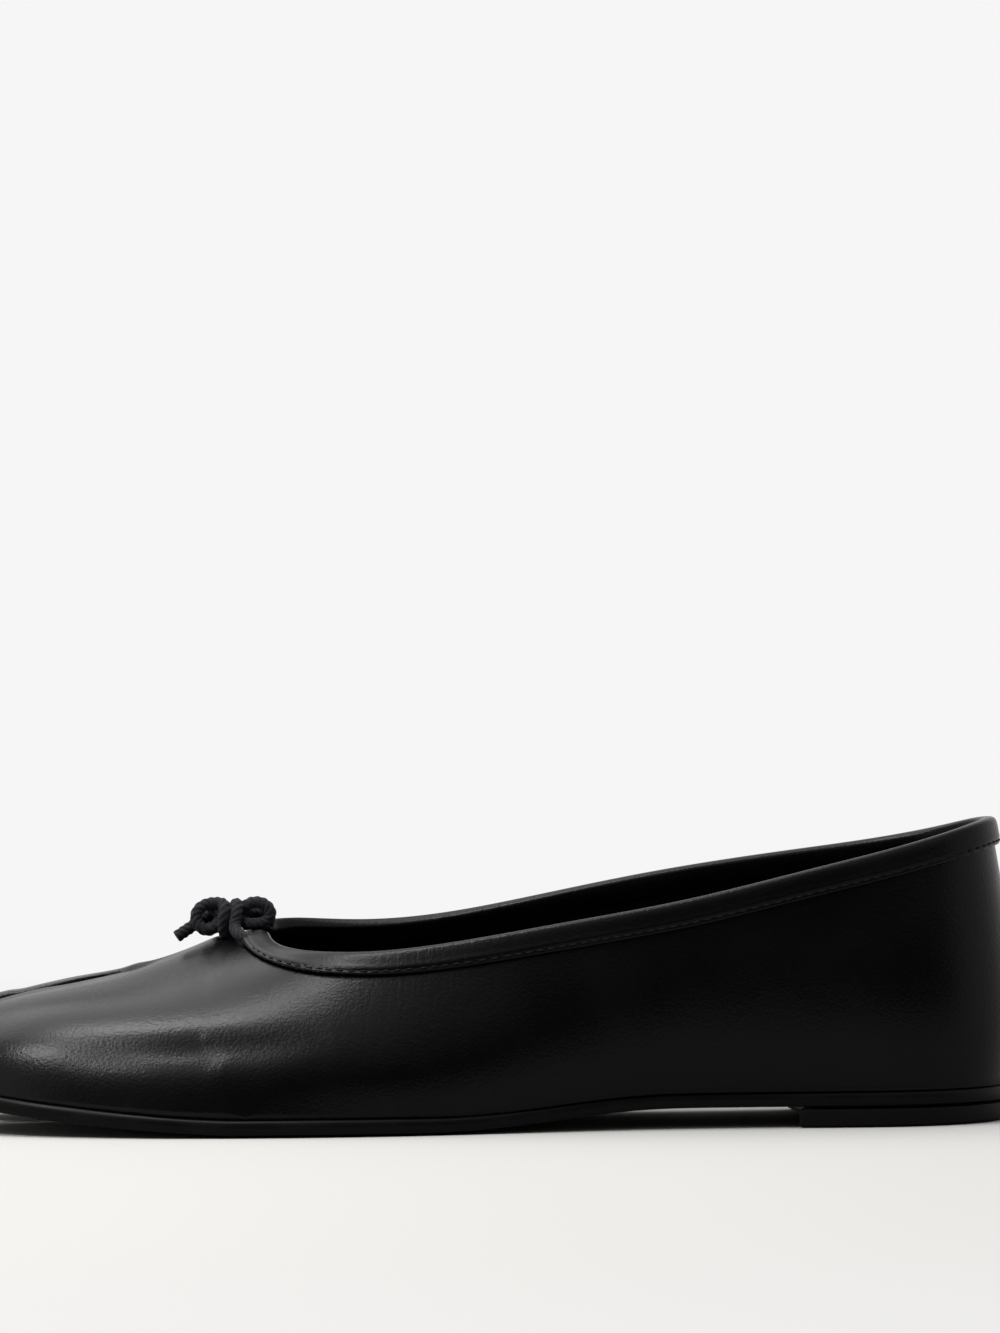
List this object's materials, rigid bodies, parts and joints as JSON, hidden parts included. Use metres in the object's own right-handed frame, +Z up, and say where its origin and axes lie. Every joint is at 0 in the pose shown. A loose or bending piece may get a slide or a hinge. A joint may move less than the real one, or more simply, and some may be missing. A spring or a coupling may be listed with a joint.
{
  "type": "ballet flat",
  "caption": "Split-toe ballet flat in smooth black leather with a stitched collar casing, a knotted drawstring at the throat, a thin sprung sole and a low heel lift.",
  "frame": {"origin": "on the floor under the centre of the shoe's box", "axes": "+X from the toe to the heel, +Y to the inner side of the foot, +Z up"},
  "size_m": [0.2456, 0.0785, 0.0673],
  "materials": {
    "upper_leather": "satin gloss",
    "binding_leather": "satin gloss",
    "sole_leather": "satin",
    "heel_rubber": "matte",
    "sock_leather": "matte",
    "cord_cotton": "matte"
  },
  "bodies": {
    "root": {"upper": "upper_leather", "collar_binding": "binding_leather", "outsole": "sole_leather", "heel": "heel_rubber", "insole": "sock_leather", "bow_knot": "cord_cotton", "bow_loop_front": "cord_cotton", "bow_loop_back": "cord_cotton", "bow_tail_near": "cord_cotton", "bow_tail_far": "cord_cotton", "bow_foot_near": "cord_cotton", "bow_foot_far": "cord_cotton"}
  },
  "joints": []
}
